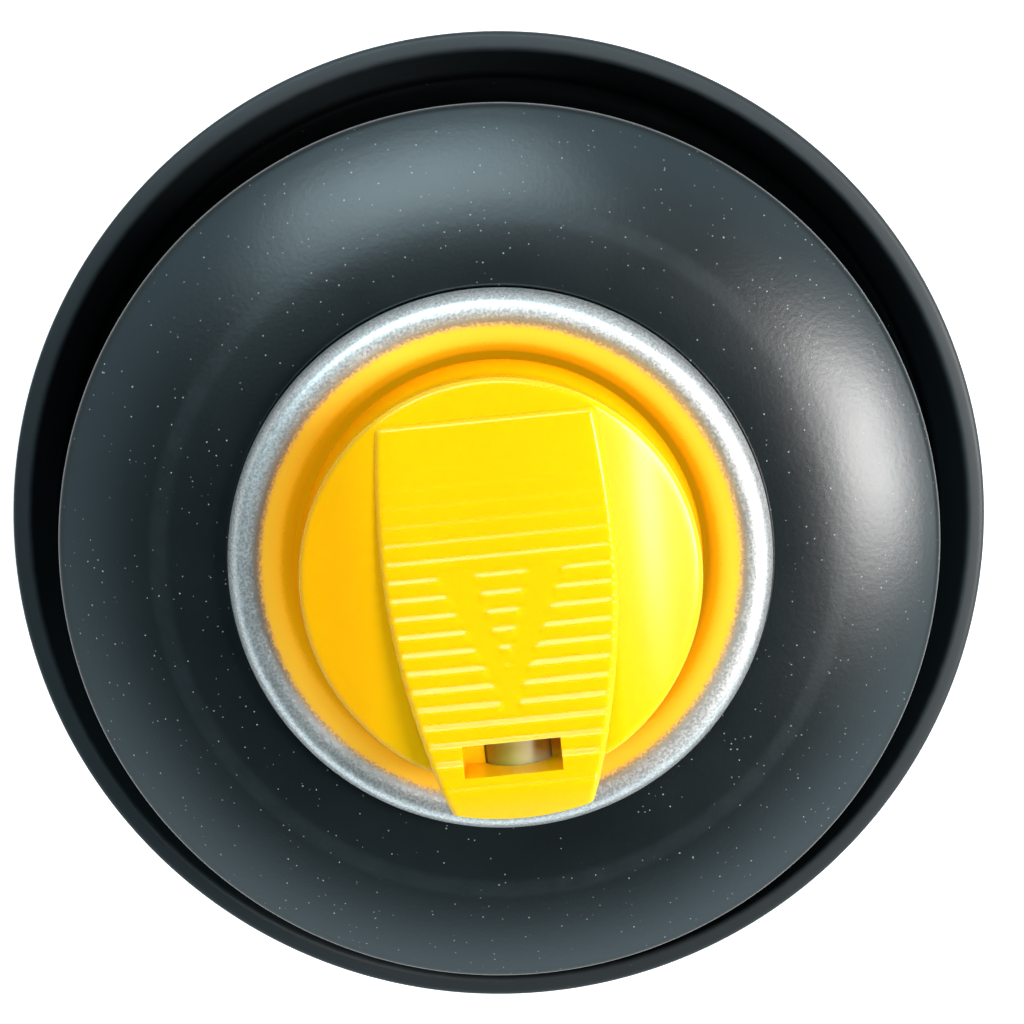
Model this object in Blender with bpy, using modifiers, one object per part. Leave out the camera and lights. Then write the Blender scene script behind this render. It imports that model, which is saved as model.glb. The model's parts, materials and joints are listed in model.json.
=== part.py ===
"""Spray paint can with its overcap off: the can, its valve, its colour ring and its push button.

Metres, +Z up. The origin is the middle of the bottom seam, on the plane that the can stands on. The can's
axis is +Z, and the nozzle sprays along -Y.
"""

import math

import bpy

MM = 0.001

# The can. Heights marked "above the seam" are measured from the top of the top seam.
SEAM_HEIGHT = 157.0 * MM  # the plane it stands on to the top of the top seam
BODY_R = 32.45 * MM
BODY_WALL = 0.2 * MM
END_WALL = 0.25 * MM
SEAM_R = 33.39 * MM
SEAM_DEPTH = 3.05 * MM
SEAM_EDGE = 0.35 * MM  # bevel on the seam's shoulders
CHUCK_R = 31.9 * MM  # inner face of the seam
COUNTERSINK = 4.65 * MM
CHUCK_TAPER = 0.05  # how fast the chuck wall draws in with depth
DOME_RISE = 12.0 * MM  # middle of the concave bottom, above the plane it stands on
DOME_DROP = 7.0 * MM  # from there to the dome's edge
DOME_EDGE_R = 30.5 * MM

# Layers of the double seam: inner faces of the end's hook and of the body's hook, and the flange.
END_HOOK_R = 32.53 * MM
BODY_HOOK_R = 32.86 * MM
FLANGE_DEPTH = 0.83 * MM
HOOK_TIP_DEPTH = 2.5 * MM
END_HOOK_TIP_DEPTH = 1.1 * MM
COMPOUND_R = (32.4 * MM, 32.9 * MM)  # the sealing compound, inner and outer
COMPOUND_DEPTH = (0.33 * MM, 0.55 * MM)

# The one-inch opening and the valve cup, above the seam.
BEAD_R = 14.15 * MM
BEAD_Z = 12.7 * MM
BEAD_TUBE_R = 1.25 * MM
NECK_R = 13.15 * MM
NECK_Z = 11.2 * MM
CONE_TOP = (14.8 * MM, 9.2 * MM)
CONE_FOOT = (28.9 * MM, -3.8 * MM)
SINK_BEND = (29.4 * MM, -4.3 * MM)  # where the cone runs out into the countersink
SINK_FLOOR_R = 30.1 * MM
CUP_WALL = 0.3 * MM
CUP_R = 16.1 * MM
CUP_TOP = 15.0 * MM
CUP_BORE_R = 12.45 * MM
CUP_FLOOR = 6.8 * MM
PEDESTAL_R = 6.2 * MM
PEDESTAL_TOP = 12.3 * MM
STEM_HOLE_R = 2.35 * MM
CUP_GASKET_R = (13.5 * MM, 14.8 * MM)
CUP_GASKET_Z = (14.03 * MM, 14.4 * MM)

# The colour ring, above the seam.
RING_R = 27.1 * MM
RING_FOOT_R = 27.3 * MM
RING_FOOT_Z = -0.7 * MM
RING_EDGE_Z = 10.5 * MM
RING_TOP_Z = 12.8 * MM
RING_BORE_R = 16.7 * MM
RING_LIP_Z = 10.8 * MM
RING_WALL = 1.2 * MM

# The valve, above the seam.
GASKET_TOP = 11.9 * MM
GASKET_BOTTOM = 10.95 * MM
STEM_GASKET_R = (1.6 * MM, 5.2 * MM)
HOUSING_TOP = 10.85 * MM
HOUSING_R = 4.3 * MM
HOUSING_BORE_R = 3.0 * MM
SPRING_SEAT = 2.2 * MM
TAIL_R = 2.0 * MM
TAIL_BORE_R = 1.1 * MM
TAIL_END = -6.0 * MM
STEM_R = 2.0 * MM
STEM_BORE_R = 1.0 * MM
STEM_TOP = 18.0 * MM
STEM_FLANGE_R = 2.7 * MM
STEM_FLANGE_BOTTOM = 9.6 * MM
STEM_FOOT = 7.0 * MM
ORIFICE_R = 0.3 * MM
ORIFICE_Z = 11.75 * MM
SPRING_R = 2.1 * MM
SPRING_WIRE_R = 0.28 * MM
SPRING_TURNS = 5

# The dip tube, and the two mixing balls on the bottom's rim.
TUBE_R = 3.0 * MM
TUBE_BORE_R = 2.2 * MM
TUBE_TOP = -0.3 * MM  # above the seam
TUBE_END = (0.0, -16.0 * MM, 13.0 * MM)
BALL_R = 3.5 * MM
BALL_ORBIT = 28.4 * MM
BALL_Z = 10.3 * MM
BALL_ANGLES = (150.0, 210.0)

# The push button and its nozzle, above the seam.
BUTTON_R = 11.1 * MM
BUTTON_TOP = 21.0 * MM
SKIRT_FLARE = (11.15 * MM, 15.2 * MM)  # where the skirt starts to widen
FLANGE_R = 12.05 * MM
FLANGE_TOP = 13.4 * MM
BUTTON_FOOT = 9.8 * MM
BUTTON_WALL = 1.1 * MM
BUTTON_EDGE = 0.6 * MM
SHELF_START = 5.7 * MM  # distance from the middle at which the cap's top starts to fall away to each side
SHELF_BEND = 3.1 * MM
SHELF_SLOPE = 0.19
SHELF_STEEP = 0.5 * MM
SHELF_FADE = (14.0 * MM, 19.5 * MM)  # heights between which the fall reaches down the skirt
TOP_RINGS = (3.0, 5.7, 7.2, 8.8)
SOCKET_R = 2.08 * MM
SOCKET_TOP = 18.1 * MM
BOSS_R = 3.5 * MM
BOSS_FOOT = 14.0 * MM
SPRAY_Z = 19.0 * MM
CHANNEL_R = 0.8 * MM
PAD_BACK = 9.1 * MM
PAD_FRONT = -12.0 * MM
PAD_NOSE = -12.6 * MM
PAD_LOW = 21.35 * MM
PAD_LOW_Y = 5.0 * MM
PAD_RISE = 8.5  # 1/m: how fast the finger pad climbs towards the nose
PAD_FLOOR = 20.2 * MM
LIP_BACK = -10.35 * MM
PAD_HALF_WIDTHS = (
    (9.1, 5.65),
    (4.3, 6.15),
    (1.5, 6.25),
    (-1.9, 6.0),
    (-5.0, 5.45),
    (-8.0, 4.65),
    (-12.0, 3.6),
)
RIB_PITCH = 0.986 * MM
RIB_COUNT = 16
RIB_FIRST = 7.63 * MM
RIB_HEIGHT = 0.18 * MM
RIB_HALF = 0.24 * MM
NOSE_HALF = 3.7 * MM
NOSE_FLOOR = 16.7 * MM
NOSE_BACK = 1.0 * MM
WINDOW_HALF = 2.85 * MM
WINDOW_SPAN = (-10.0 * MM, -8.25 * MM)
INSERT_R = 2.0 * MM
INSERT_BORE_R = 1.2 * MM
INSERT_FRONT = -12.1 * MM
INSERT_BACK = -6.8 * MM
INSERT_HOLE_R = 0.25 * MM
INSERT_GAP = 0.1 * MM
FAN_SLOT = 0.4 * MM

STEPS = 32  # facets round a wide turned piece
FINE_STEPS = 20  # facets round a narrow one
MERGE = 0.00001

COLOURS = {
    "lacquer": ((0.018, 0.022, 0.026), 0.45, 0.0),
    "ring_plastic": ((0.028, 0.042, 0.050), 0.55, 0.0),
    "tinplate": ((0.62, 0.61, 0.58), 0.35, 1.0),
    "yellow_plastic": ((0.90, 0.62, 0.01), 0.30, 0.0),
    "grey_plastic": ((0.42, 0.40, 0.30), 0.40, 0.0),
    "white_plastic": ((0.80, 0.80, 0.77), 0.45, 0.0),
    "rubber": ((0.02, 0.02, 0.02), 0.80, 0.0),
    "compound": ((0.55, 0.45, 0.30), 0.80, 0.0),
    "steel": ((0.60, 0.60, 0.60), 0.25, 1.0),
}


def clear_scene():
    for obj in list(bpy.data.objects):
        bpy.data.objects.remove(obj)


def new_collection(name):
    made = bpy.data.collections.new(name)
    bpy.context.scene.collection.children.link(made)
    return made


def new_material(name):
    colour, roughness, metallic = COLOURS[name]
    made = bpy.data.materials.new(name)
    made.use_nodes = True
    shader = made.node_tree.nodes["Principled BSDF"]
    shader.inputs["Base Color"].default_value = (*colour, 1.0)
    shader.inputs["Roughness"].default_value = roughness
    shader.inputs["Metallic"].default_value = metallic
    return made


def add_object(name, data, collection, finish=None, at=(0.0, 0.0, 0.0)):
    """A new object in a collection, with its material, at a place."""
    made = bpy.data.objects.new(name, data)
    collection.objects.link(made)
    made.location = at
    if finish:
        data.materials.append(MATERIALS[finish])
    return made


def as_cutter(obj):
    """Marks an object as a helper for a Boolean, which a render and the build leave out."""
    obj.hide_render = True
    obj.display_type = "WIRE"
    return obj


def arc(centre, radius, first, last, count):
    """Points on a circle in the (r, z) plane, between two angles in degrees, both included."""
    turns = [math.radians(first + (last - first) * i / (count - 1)) for i in range(count)]
    return [(centre[0] + radius * math.cos(a), centre[1] + radius * math.sin(a)) for a in turns]


def profile_mesh(name, points, closed):
    """A mesh of edges in the XZ plane through (r, z) points, for the Screw modifier to turn."""
    edges = [(i, i + 1) for i in range(len(points) - 1)]
    if closed:
        edges.append((len(points) - 1, 0))
    mesh = bpy.data.meshes.new(name)
    mesh.from_pydata([(r, 0.0, z) for r, z in points], edges, [])
    return mesh


def turned(name, points, finish, collection, closed=True, steps=STEPS, height=0.0):
    """A solid turned about Z. The profile has its outside on the left, so it runs down the outer side."""
    made = add_object(name, profile_mesh(name, points, closed), collection, finish, (0.0, 0.0, height))
    screw = made.modifiers.new("Turn", "SCREW")
    screw.steps = steps
    screw.render_steps = steps
    screw.use_merge_vertices = True
    screw.merge_threshold = MERGE
    screw.use_smooth_shade = True
    return made


def turned_shell(name, points, wall, finish, collection, steps=STEPS, height=0.0):
    """A sheet turned about Z: the profile is the outer face, and the wall's thickness goes behind it."""
    made = turned(name, points, finish, collection, False, steps, height)
    solidify = made.modifiers.new("Wall", "SOLIDIFY")
    solidify.thickness = wall
    solidify.offset = -1.0
    solidify.use_even_offset = True
    return made


def prism(name, outline, depth, collection, finish=None):
    """A flat outline in its own XY plane, extruded by depth both ways along its own Z."""
    curve = bpy.data.curves.new(name, "CURVE")
    curve.dimensions = "2D"
    curve.fill_mode = "BOTH"
    curve.extrude = depth
    spline = curve.splines.new("POLY")
    spline.points.add(len(outline) - 1)
    for point, (x, y) in zip(spline.points, outline):
        point.co = (x, y, 0.0, 1.0)
    spline.use_cyclic_u = True
    return to_mesh(add_object(name, curve, collection, finish), collection, finish)


def to_mesh(obj, collection, finish=None):
    """The curve object's evaluated shape as a mesh object, its caps welded. The curve is removed."""
    graph = bpy.context.evaluated_depsgraph_get()
    mesh = bpy.data.meshes.new_from_object(obj.evaluated_get(graph))
    name = obj.name
    matrix = obj.matrix_world.copy()
    bpy.data.objects.remove(obj)
    made = add_object(name, mesh, collection)
    made.matrix_world = matrix
    if finish and not mesh.materials:
        mesh.materials.append(MATERIALS[finish])
    weld = made.modifiers.new("Caps", "WELD")
    weld.merge_threshold = MERGE
    return made


def block(name, low, high, collection):
    """A box between two corners."""
    bpy.ops.mesh.primitive_cube_add(size=1.0)
    made = bpy.context.object
    made.name = name
    made.data.name = name
    size = [b - a for a, b in zip(low, high)]
    middle = [(a + b) / 2 for a, b in zip(low, high)]
    for vertex in made.data.vertices:
        vertex.co = [c * s for c, s in zip(vertex.co, size)]
    made.location = middle
    move_to(made, collection)
    return made


def rod(name, radius, length, at, turn, collection, sides=16):
    """A cylinder of a radius and length, its middle at a place, turned from Z."""
    bpy.ops.mesh.primitive_cylinder_add(
        vertices=sides, radius=radius, depth=length, location=at, rotation=turn
    )
    made = bpy.context.object
    made.name = name
    made.data.name = name
    move_to(made, collection)
    return made


def move_to(obj, collection):
    for other in obj.users_collection:
        other.objects.unlink(obj)
    collection.objects.link(obj)


def combine(target, other, operation, solver="EXACT"):
    """A live Boolean on target with a helper object."""
    step = target.modifiers.new(operation.title() + " " + other.name, "BOOLEAN")
    step.operation = operation
    step.object = as_cutter(other)
    step.solver = solver


def top_seam_points(depth_of):
    """The end's sheet round the double seam, from its inner face to its hook's tip."""
    flat_in = CHUCK_R + SEAM_EDGE
    flat_out = SEAM_R - SEAM_EDGE
    return [
        (CHUCK_R, depth_of(SEAM_EDGE)),
        (flat_in, depth_of(0.0)),
        (flat_out, depth_of(0.0)),
        (SEAM_R, depth_of(SEAM_EDGE)),
        (SEAM_R, depth_of(SEAM_DEPTH)),
        (END_HOOK_R, depth_of(SEAM_DEPTH)),
        (END_HOOK_R, depth_of(END_HOOK_TIP_DEPTH)),
    ]


def countersink_r(depth):
    """Inner face of the chuck wall, which draws in a little as it goes deeper."""
    return CHUCK_R - CHUCK_TAPER * depth


def make_can_body(parts):
    """The straight tinplate wall, with a flange and a hook rolled out at each end."""
    top = SEAM_HEIGHT
    points = [
        (BODY_HOOK_R, top - HOOK_TIP_DEPTH),
        (BODY_HOOK_R, top - FLANGE_DEPTH),
        (BODY_R, top - FLANGE_DEPTH),
        (BODY_R, FLANGE_DEPTH),
        (BODY_HOOK_R, FLANGE_DEPTH),
        (BODY_HOOK_R, HOOK_TIP_DEPTH),
    ]
    return turned_shell("can_body", points, BODY_WALL, "lacquer", parts)


def make_top_cone(parts):
    """The pressed top: a bead round the one-inch opening, a cone, a countersink and the seam."""
    curl = arc((BEAD_R, BEAD_Z), BEAD_TUBE_R - END_WALL, -60.0, 180.0, 7)
    cone = [
        (CONE_TOP[0] + (CONE_FOOT[0] - CONE_TOP[0]) * t, CONE_TOP[1] + (CONE_FOOT[1] - CONE_TOP[1]) * t)
        for t in (0.0, 0.5, 1.0)
    ]
    wall_r = countersink_r(COUNTERSINK)
    sink = [
        SINK_BEND,
        (SINK_FLOOR_R, -COUNTERSINK),
        (wall_r - 0.5 * MM, -COUNTERSINK),
        (wall_r, -COUNTERSINK + 0.6 * MM),
    ]
    points = curl + [(NECK_R, NECK_Z)] + cone + sink + top_seam_points(lambda depth: -depth)
    return turned_shell("can_top_cone", points, END_WALL, "lacquer", parts, height=SEAM_HEIGHT)


def dome_height(r):
    """Outer face of the concave bottom, highest on the axis."""
    return DOME_RISE - DOME_DROP * (r / DOME_EDGE_R) ** 2


def make_bottom_end(parts):
    """The pressed bottom: the seam that it stands on, a short wall, and a dome that bows inwards."""
    seam = list(reversed(top_seam_points(lambda depth: depth)))
    wall_r = countersink_r(COUNTERSINK)
    rim = [(wall_r, COUNTERSINK - 0.9 * MM), (wall_r - 0.7 * MM, COUNTERSINK)]
    dome = [(r * MM, dome_height(r * MM)) for r in (29.5, 22.0, 14.0, 6.0, 0.0)]
    return turned_shell("can_bottom_end", seam + rim + dome, END_WALL, "lacquer", parts)


def make_colour_ring(parts):
    """The moulded ring over the cone: a low crown, a tight round edge and a straight outer wall."""
    inner, outer = RING_BORE_R + 0.4 * MM, RING_R - 0.7 * MM
    drop = RING_TOP_Z - RING_EDGE_Z
    crown = [
        (inner + (outer - inner) * t, RING_TOP_Z - drop * 0.87 * t * t) for t in (0.0, 0.25, 0.5, 0.75, 1.0)
    ]
    points = (
        [(RING_BORE_R, RING_LIP_Z), (RING_BORE_R, RING_TOP_Z - 0.4 * MM)]
        + crown
        + [(RING_R - 0.2 * MM, RING_EDGE_Z - 0.2 * MM), (RING_R, RING_EDGE_Z - 0.8 * MM)]
        + [(RING_FOOT_R, RING_FOOT_Z)]
    )
    return turned_shell("colour_ring", points, RING_WALL, "ring_plastic", parts, height=SEAM_HEIGHT)


def make_valve_cup(parts):
    """The mounting cup: a pedestal round the stem, a flat floor, a crimped wall and a rolled rim."""
    pedestal = [
        (STEM_HOLE_R, PEDESTAL_TOP),
        (PEDESTAL_R - 0.5 * MM, PEDESTAL_TOP),
        (PEDESTAL_R, PEDESTAL_TOP - 0.5 * MM),
        (PEDESTAL_R, CUP_FLOOR),
        (CUP_BORE_R - 0.8 * MM, CUP_FLOOR),
    ]
    wall = [
        (CUP_BORE_R - 0.2 * MM, CUP_FLOOR + 0.6 * MM),
        (CUP_BORE_R + 0.5 * MM, 9.5 * MM),
        (CUP_BORE_R, 10.8 * MM),
        (CUP_BORE_R, 13.5 * MM),
    ]
    rim = [
        (12.95 * MM, 14.5 * MM),
        (13.9 * MM, CUP_TOP),
        (14.7 * MM, CUP_TOP),
        (15.65 * MM, 14.5 * MM),
        (CUP_R, 13.5 * MM),
        (CUP_R, 11.9 * MM),
    ]
    return turned_shell("valve_cup", pedestal + wall + rim, CUP_WALL, "tinplate", parts, height=SEAM_HEIGHT)


def flat_ring(name, radii, heights, finish, parts, steps=STEPS, height=SEAM_HEIGHT):
    """A ring of rectangular section, such as a gasket, between two radii and two heights."""
    inner, outer = radii
    low, high = heights
    points = [(outer, high), (outer, low), (inner, low), (inner, high)]
    return turned(name, points, finish, parts, steps=steps, height=height)


def make_seam_compounds(parts):
    """The rubbery linings that seal the double seams, between each end and the body's flange."""
    near, far = COMPOUND_DEPTH
    return [
        flat_ring("top_seam_compound", COMPOUND_R, (-far, -near), "compound", parts),
        flat_ring("bottom_seam_compound", COMPOUND_R, (near, far), "compound", parts, height=0.0),
    ]


def make_gaskets(parts):
    """The rubber rings under the cup's rim and round the stem."""
    stem_gasket_z = (GASKET_BOTTOM, GASKET_TOP)
    return [
        flat_ring("cup_gasket", CUP_GASKET_R, CUP_GASKET_Z, "rubber", parts),
        flat_ring("stem_gasket", STEM_GASKET_R, stem_gasket_z, "rubber", parts, FINE_STEPS),
    ]


def make_valve_housing(parts):
    """The nylon housing: a flange under the gasket, a spring chamber and a tail for the dip tube."""
    points = [
        (5.5 * MM, HOUSING_TOP),
        (5.5 * MM, HOUSING_TOP - 1.5 * MM),
        (HOUSING_R, HOUSING_TOP - 1.5 * MM),
        (HOUSING_R, 1.6 * MM),
        (TAIL_R, 0.2 * MM),
        (TAIL_R, TAIL_END),
        (TAIL_BORE_R, TAIL_END),
        (TAIL_BORE_R, SPRING_SEAT),
        (HOUSING_BORE_R, SPRING_SEAT),
        (HOUSING_BORE_R, HOUSING_TOP),
    ]
    return turned("valve_housing", points, "white_plastic", parts, steps=FINE_STEPS, height=SEAM_HEIGHT)


def make_valve_stem(parts, cutters):
    """The hollow stem: open at the top, a waist in the gasket with two orifices, and a flange below."""
    points = [
        (0.0, ORIFICE_Z - ORIFICE_R),
        (STEM_BORE_R, ORIFICE_Z - ORIFICE_R),
        (STEM_BORE_R, STEM_TOP),
        (STEM_R - 0.2 * MM, STEM_TOP),
        (STEM_R, STEM_TOP - 0.3 * MM),
        (STEM_R, 13.4 * MM),
        (1.5 * MM, 13.2 * MM),
        (1.5 * MM, GASKET_BOTTOM - 0.15 * MM),
        (STEM_FLANGE_R, GASKET_BOTTOM - 0.15 * MM),
        (STEM_FLANGE_R, STEM_FLANGE_BOTTOM),
        (1.2 * MM, STEM_FLANGE_BOTTOM),
        (1.2 * MM, STEM_FOOT),
        (0.0, STEM_FOOT),
    ]
    stem = turned("valve_stem", points, "white_plastic", parts, False, FINE_STEPS, SEAM_HEIGHT)
    hole_at = (0.0, 0.0, SEAM_HEIGHT + ORIFICE_Z)
    hole = rod("stem_orifices", ORIFICE_R, 4.0 * MM, hole_at, (0.0, math.pi / 2, 0.0), cutters, 8)
    combine(stem, hole, "DIFFERENCE")
    return stem


def make_valve_spring(parts):
    """The coil spring between the housing's seat and the stem's flange, its end turns closed up."""
    low = SPRING_SEAT + SPRING_WIRE_R + 0.05 * MM
    high = STEM_FLANGE_BOTTOM - SPRING_WIRE_R - 0.05 * MM
    count = SPRING_TURNS * 12
    curve = bpy.data.curves.new("valve_spring", "CURVE")
    curve.dimensions = "3D"
    curve.bevel_depth = SPRING_WIRE_R
    curve.bevel_resolution = 1
    curve.use_fill_caps = True
    spline = curve.splines.new("POLY")
    spline.points.add(count)
    for i, point in enumerate(spline.points):
        t = i / count
        eased = t - math.sin(2 * math.pi * t) / (2 * math.pi) * 0.6
        angle = 2 * math.pi * SPRING_TURNS * t
        z = low + (high - low) * eased
        point.co = (SPRING_R * math.cos(angle), SPRING_R * math.sin(angle), z, 1.0)
    return add_object("valve_spring", curve, parts, "steel", (0.0, 0.0, SEAM_HEIGHT))


def make_dip_tube(parts):
    """The plastic tube from the housing's tail, bowed so that its end lies near the bottom's rim."""
    curve = bpy.data.curves.new("dip_tube", "CURVE")
    curve.dimensions = "3D"
    curve.bevel_depth = TUBE_R
    curve.bevel_resolution = 4
    spline = curve.splines.new("POLY")
    count = 12
    straight = TAIL_END + SEAM_HEIGHT - 4.0 * MM
    top = SEAM_HEIGHT + TUBE_TOP
    spline.points.add(count + 1)
    spline.points[0].co = (0.0, 0.0, top, 1.0)
    for i, point in enumerate(spline.points[1:]):
        t = i / count
        z = straight + (TUBE_END[2] - straight) * t
        point.co = (0.0, TUBE_END[1] * t * t, z, 1.0)
    tube = to_mesh(add_object("dip_tube", curve, parts, "white_plastic"), parts, "white_plastic")
    solidify = tube.modifiers.new("Wall", "SOLIDIFY")
    solidify.thickness = TUBE_R - TUBE_BORE_R
    solidify.offset = -1.0
    return tube


def make_mixing_balls(parts):
    """Two steel balls that lie between the wall and the dome, and rattle when the can is shaken."""
    made = []
    for number, degrees in enumerate(BALL_ANGLES, start=1):
        angle = math.radians(degrees)
        at = (BALL_ORBIT * math.cos(angle), BALL_ORBIT * math.sin(angle), BALL_Z)
        bpy.ops.mesh.primitive_uv_sphere_add(segments=16, ring_count=10, radius=BALL_R, location=at)
        ball = bpy.context.object
        ball.name = f"mixing_ball_{number}"
        ball.data.materials.append(MATERIALS["steel"])
        ball.data.shade_smooth()
        move_to(ball, parts)
        made.append(ball)
    return made


def pad_height(y):
    """The finger pad's surface: lowest towards the back, and climbing to the nose as a parabola."""
    return PAD_LOW + PAD_RISE * (y - PAD_LOW_Y) ** 2


def pad_side_outline():
    """The pad seen from the side, as (y, z): a ribbed top, a round nose and a flat underside."""
    back = PAD_BACK + MM
    outline = [(back, PAD_FLOOR), (back, pad_height(PAD_BACK))]
    for i in range(RIB_COUNT):
        y = RIB_FIRST - RIB_PITCH * i
        outline.append((y + RIB_HALF, pad_height(y + RIB_HALF)))
        outline.append((y, pad_height(y) + RIB_HEIGHT))
        outline.append((y - RIB_HALF, pad_height(y - RIB_HALF)))
    crest = pad_height(WINDOW_SPAN[1])
    outline += [(WINDOW_SPAN[1], crest), (LIP_BACK, crest - 0.1 * MM)]
    outline += [(-11.4 * MM, crest - 0.6 * MM), (-12.3 * MM, crest - 1.6 * MM)]
    outline += [(PAD_NOSE - MM, crest - 2.3 * MM), (PAD_NOSE - MM, PAD_FLOOR)]
    return outline


def pad_plan_outline():
    """The pad seen from above, as (x, y): a shield that narrows to a convex nose."""
    right = [(w * MM, y * MM) for y, w in PAD_HALF_WIDTHS]
    nose = [(2.0 * MM, PAD_NOSE + 0.17 * MM), (0.0, PAD_NOSE), (-2.0 * MM, PAD_NOSE + 0.17 * MM)]
    return right + nose + [(-x, y) for x, y in reversed(right)]


def upright(name, radius, low, high, cutters, sides):
    """A cylinder on the can's axis between two heights above the seam."""
    at = (0.0, 0.0, SEAM_HEIGHT + (low + high) / 2)
    return rod(name, radius, high - low, at, (0.0, 0.0, 0.0), cutters, sides)


def along_spray(name, radius, back, front, cutters, sides):
    """A cylinder on the nozzle's axis between two places along Y."""
    at = (0.0, (back + front) / 2, SEAM_HEIGHT + SPRAY_Z)
    return rod(name, radius, back - front, at, (math.pi / 2, 0.0, 0.0), cutters, sides)


def make_finger_pad(cutters):
    """The ribbed pad: its outline from above, crossed with its outline from the side."""
    pad = prism("pad_plan", pad_plan_outline(), 6.0 * MM, cutters)
    pad.location.z = SEAM_HEIGHT + BUTTON_TOP
    side = prism("pad_side", pad_side_outline(), 9.0 * MM, cutters)
    # The outline's x and y become the object's y and z.
    side.rotation_euler = (math.pi / 2, 0.0, math.pi / 2)
    side.location.z = SEAM_HEIGHT
    combine(pad, side, "INTERSECT", "MANIFOLD")
    return pad


def shelf_drop(x):
    """How far the cap's top lies below its middle: steep beside the finger pad, then gentler."""
    outwards = max(abs(x) - SHELF_START, 0.0)
    bend = 1.0 - min(outwards / SHELF_BEND, 1.0)
    return SHELF_SLOPE * outwards + SHELF_STEEP * (1.0 - bend * bend)


def make_cap(parts):
    """The cap and its skirt: rings about Z whose sides fall away as shelves, with the wall behind them."""
    rounding = arc((BUTTON_R - BUTTON_EDGE, BUTTON_TOP - BUTTON_EDGE), BUTTON_EDGE, 90.0, 0.0, 3)
    skirt = [SKIRT_FLARE, (FLANGE_R, FLANGE_TOP), (FLANGE_R, BUTTON_FOOT)]
    profile = [(r * MM, BUTTON_TOP) for r in TOP_RINGS] + rounding + skirt
    low, high = SHELF_FADE
    vertices = [(0.0, 0.0, BUTTON_TOP)]
    for r, z in profile:
        share = min(max((z - low) / (high - low), 0.0), 1.0)
        for i in range(STEPS):
            angle = 2 * math.pi * i / STEPS
            x = r * math.cos(angle)
            vertices.append((x, r * math.sin(angle), z - share * shelf_drop(x)))
    faces = [(0, 1 + i, 1 + (i + 1) % STEPS) for i in range(STEPS)]
    for ring in range(len(profile) - 1):
        near = 1 + ring * STEPS
        far = near + STEPS
        for i in range(STEPS):
            following = (i + 1) % STEPS
            faces.append((near + i, far + i, far + following, near + following))
    mesh = bpy.data.meshes.new("actuator")
    mesh.from_pydata(vertices, [], faces)
    mesh.shade_smooth()
    cap = add_object("actuator", mesh, parts, "yellow_plastic", (0.0, 0.0, SEAM_HEIGHT))
    solidify = cap.modifiers.new("Wall", "SOLIDIFY")
    solidify.thickness = BUTTON_WALL
    solidify.offset = -1.0
    solidify.use_even_offset = True
    return cap


def make_button(parts, cutters):
    """The push button: a cap on a flared skirt, a ribbed finger pad that ends in the nose, and a boss."""
    button = make_cap(parts)
    nose_low = (-NOSE_HALF, PAD_FRONT, SEAM_HEIGHT + NOSE_FLOOR)
    nose_high = (NOSE_HALF, NOSE_BACK, SEAM_HEIGHT + BUTTON_TOP - 0.35 * MM)
    window_low = (-WINDOW_HALF, WINDOW_SPAN[0], SEAM_HEIGHT + SPRAY_Z + 0.5 * MM)
    window_high = (WINDOW_HALF, WINDOW_SPAN[1], SEAM_HEIGHT + 26.0 * MM)
    bore_r = INSERT_R + INSERT_GAP
    bore_back = INSERT_BACK + INSERT_GAP
    added = [
        make_finger_pad(cutters),
        block("nose_block", nose_low, nose_high, cutters),
        upright("stem_boss", BOSS_R, BOSS_FOOT, BUTTON_TOP - 0.55 * MM, cutters, 20),
    ]
    # The channel climbs from the stem's socket, then runs forward to the nozzle's bore.
    removed = [
        upright("stem_socket", SOCKET_R, BOSS_FOOT - MM, SOCKET_TOP, cutters, 16),
        upright("channel_riser", CHANNEL_R, SOCKET_TOP - MM, SPRAY_Z + 0.3 * MM, cutters, 12),
        along_spray("channel_run", CHANNEL_R, 1.2 * MM, INSERT_BACK - 0.5 * MM, cutters, 12),
        along_spray("insert_bore", bore_r, bore_back, PAD_NOSE - MM, cutters, 24),
        block("window", window_low, window_high, cutters),
    ]
    for helper in added:
        combine(button, helper, "UNION", "MANIFOLD")
    for helper in removed:
        combine(button, helper, "DIFFERENCE", "MANIFOLD")
    return button


def make_nozzle_insert(parts, cutters):
    """The spray insert: a small cup with a hole in its face, crossed by the slot that fans the spray."""
    length = INSERT_BACK - INSERT_FRONT
    floor = length - 0.8 * MM
    points = [
        (INSERT_HOLE_R, length),
        (INSERT_R - 0.2 * MM, length),
        (INSERT_R, length - 0.2 * MM),
        (INSERT_R, 0.0),
        (INSERT_BORE_R, 0.0),
        (INSERT_BORE_R, floor),
        (INSERT_HOLE_R, floor),
    ]
    insert = turned("nozzle_insert", points, "grey_plastic", parts, steps=24)
    insert.location = (0.0, INSERT_BACK, SEAM_HEIGHT + SPRAY_Z)
    insert.rotation_euler = (math.pi / 2, 0.0, 0.0)
    half = FAN_SLOT / 2
    low = (-3.0 * MM, INSERT_FRONT - MM, SEAM_HEIGHT + SPRAY_Z - half)
    high = (3.0 * MM, INSERT_FRONT + 0.3 * MM, SEAM_HEIGHT + SPRAY_Z + half)
    combine(insert, block("fan_slot", low, high, cutters), "DIFFERENCE")
    return insert


def parent_to_can(objects, parts):
    """An empty at the origin carries the whole can."""
    can = bpy.data.objects.new("spray_can", None)
    parts.objects.link(can)
    for obj in objects:
        obj.parent = can


clear_scene()
PARTS = new_collection("spray_paint_can")
CUTTERS = new_collection("cutters")
CUTTERS.hide_render = True
MATERIALS = {name: new_material(name) for name in COLOURS}

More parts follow.
